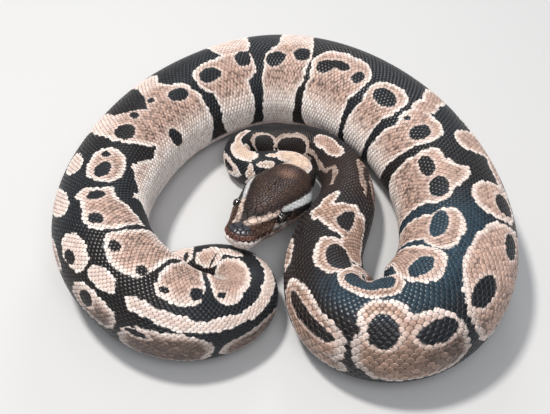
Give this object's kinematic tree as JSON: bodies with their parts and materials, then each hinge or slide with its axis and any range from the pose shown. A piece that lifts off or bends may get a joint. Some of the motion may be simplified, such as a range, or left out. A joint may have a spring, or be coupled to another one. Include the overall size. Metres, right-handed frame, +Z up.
{
  "type": "coiled ball python",
  "caption": "Life-size still model of a ball python resting in one loose coil, its neck folded back and its head laid over its tail.",
  "frame": {"origin": "centre of the bounding box at the level of the floor that the coil lies on", "axes": "+Z up, -Y towards the side where the body turns back, +X towards the thick middle of the trunk"},
  "size_m": [0.2121, 0.2087, 0.0458],
  "materials": {
    "head": "small smooth head plates, dark chocolate brown with pale side stripes, satin",
    "lower_jaw": "smooth lip plates, brown and cream, satin",
    "eye_left": "black iris and pupil under a clear wet-looking spectacle scale",
    "eye_right": "black iris and pupil under a clear wet-looking spectacle scale",
    "neck": "small overlapping scales, near-black ground with tan and cream blotches, satin",
    "trunk_1": "small overlapping scales, near-black ground with tan and cream blotches, satin",
    "trunk_2": "small overlapping scales, near-black ground with tan and cream blotches, satin",
    "trunk_3": "small overlapping scales, near-black ground with tan and cream blotches, satin",
    "trunk_4": "small overlapping scales, near-black ground with tan and cream blotches, satin",
    "trunk_5": "small overlapping scales, near-black ground with tan and cream blotches, satin",
    "trunk_6": "small overlapping scales, near-black ground with tan and cream blotches, satin",
    "trunk_7": "small overlapping scales, near-black ground with tan and cream blotches, satin",
    "trunk_8": "small overlapping scales, near-black ground with tan and cream blotches, satin",
    "trunk_9": "small overlapping scales, near-black ground with tan and cream blotches, satin",
    "tail": "small overlapping scales, near-black ground with tan and cream blotches, satin"
  },
  "bodies": {
    "root": {"head": "head", "lower_jaw": "lower_jaw", "eye_left": "eye_left", "eye_right": "eye_right", "neck": "neck", "trunk_1": "trunk_1", "trunk_2": "trunk_2", "trunk_3": "trunk_3", "trunk_4": "trunk_4", "trunk_5": "trunk_5", "trunk_6": "trunk_6", "trunk_7": "trunk_7", "trunk_8": "trunk_8", "trunk_9": "trunk_9", "tail": "tail"}
  },
  "joints": []
}
